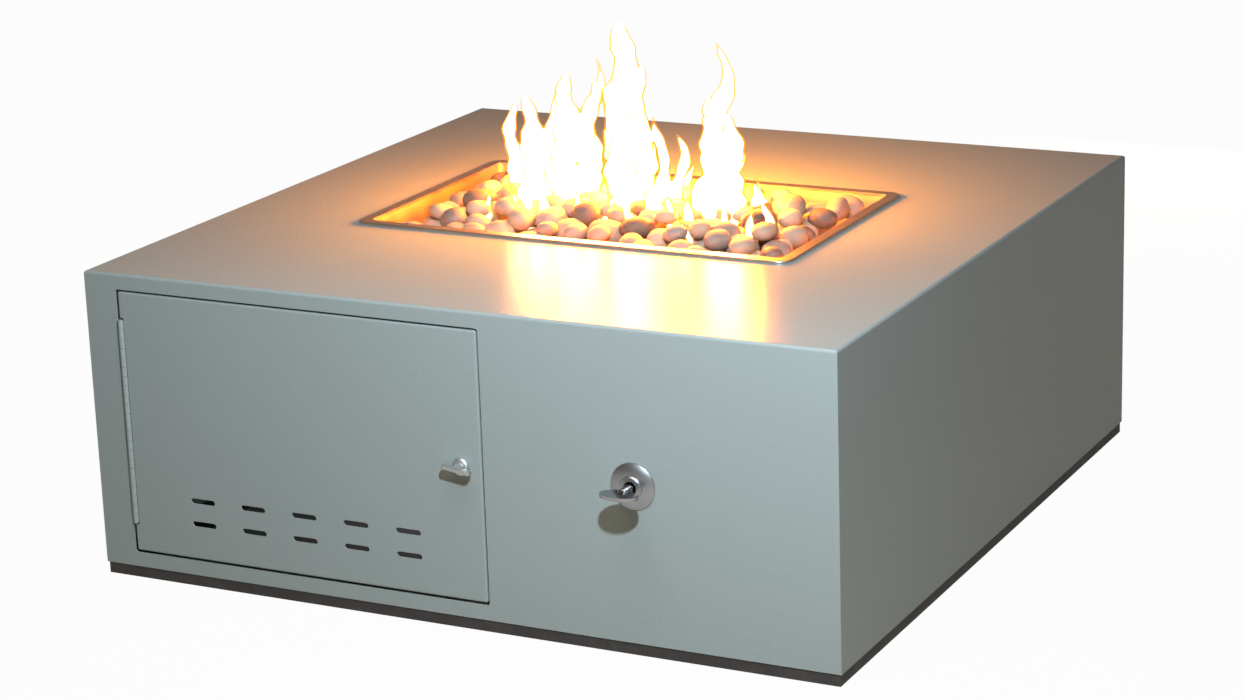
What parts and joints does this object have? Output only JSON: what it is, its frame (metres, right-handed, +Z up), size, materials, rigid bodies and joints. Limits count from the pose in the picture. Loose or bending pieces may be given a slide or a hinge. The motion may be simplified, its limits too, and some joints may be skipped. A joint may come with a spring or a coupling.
{
  "type": "gas fire pit",
  "caption": "Low square gas fire pit: powder-coated steel case, rectangular stainless burner pan of river pebbles in its top, vented door on a continuous hinge, quarter-turn latch, key valve",
  "frame": {"origin": "on the ground under the middle of the square case, in the plane of the base frame's under side", "axes": "+X to the right as seen from the front, +Y to the back, +Z up; the door and the valve are on the -Y face"},
  "size_m": [1.067, 1.121, 0.4477],
  "materials": {
    "grey_powder_coat": "satin light grey powder coat",
    "black_paint": "satin black paint",
    "grey_inside": "satin light grey powder coat",
    "stainless": "brushed stainless steel",
    "black_iron": "black malleable iron",
    "plated_steel": "zinc plated",
    "brass": "plain machined brass",
    "chrome": "polished chrome plate",
    "latch_zinc": "light grey, coated with the door",
    "stone_pale": "smooth river pebble, pale buff grey",
    "stone_grey": "smooth river pebble, mid grey",
    "stone_dark": "smooth river pebble, dark brown grey"
  },
  "bodies": {
    "case": {"top_panel": "grey_powder_coat", "front_panel": "grey_powder_coat", "back_panel": "grey_powder_coat", "left_panel": "grey_powder_coat", "right_panel": "grey_powder_coat", "base_frame": "black_paint", "corner_braces": "black_paint", "door_stop_top": "grey_inside", "door_stop_bottom": "grey_inside", "door_strike": "grey_inside", "hinge_body_leaf": "grey_powder_coat", "hinge_pin": "stainless", "burner_pan": "stainless", "h_burner": "stainless", "burner_feet": "stainless", "inlet_nipple": "black_iron", "pan_nuts": "black_iron", "pipe_elbow": "black_iron", "air_mixer": "plated_steel", "orifice_fitting": "brass", "hose_nut_burner": "brass", "gas_hose": "stainless", "hose_nut_valve": "brass", "valve_outlet_adapter": "brass", "valve_body": "brass", "valve_bonnet": "brass", "valve_locknut": "brass", "escutcheon": "chrome", "pebbles_pale": "stone_pale", "pebbles_grey": "stone_grey", "pebbles_dark": "stone_dark"},
    "door": {"door_panel": "grey_powder_coat", "hinge_door_leaf": "grey_powder_coat", "latch_housing": "latch_zinc", "latch_nut": "plated_steel"},
    "latch": {"latch_wing": "latch_zinc", "latch_cam": "stainless", "cam_screw": "plated_steel"},
    "valve": {"valve_spindle": "brass"},
    "key": {"gas_key": "chrome"}
  },
  "joints": [
    {"name": "door_hinge", "type": "hinge", "parent": "case", "child": "door", "pos_m": [-0.4805, -0.5341, 0.2182], "axis": [0, 0, -1], "range_deg": [0, 150]},
    {"name": "latch_turn", "type": "hinge", "parent": "door", "child": "latch", "pos_m": [0.0225, -0.5335, 0.217], "axis": [0, -1, 0], "range_deg": [0, 90]},
    {"name": "valve_turn", "type": "hinge", "parent": "case", "child": "valve", "pos_m": [0.2625, -0.5335, 0.221], "axis": [0, 1, 0], "range_deg": [0, 90]},
    {"name": "key_pull", "type": "slide", "parent": "valve", "child": "key", "axis": [0, -1, 0], "range_m": [0, 0.06]}
  ]
}
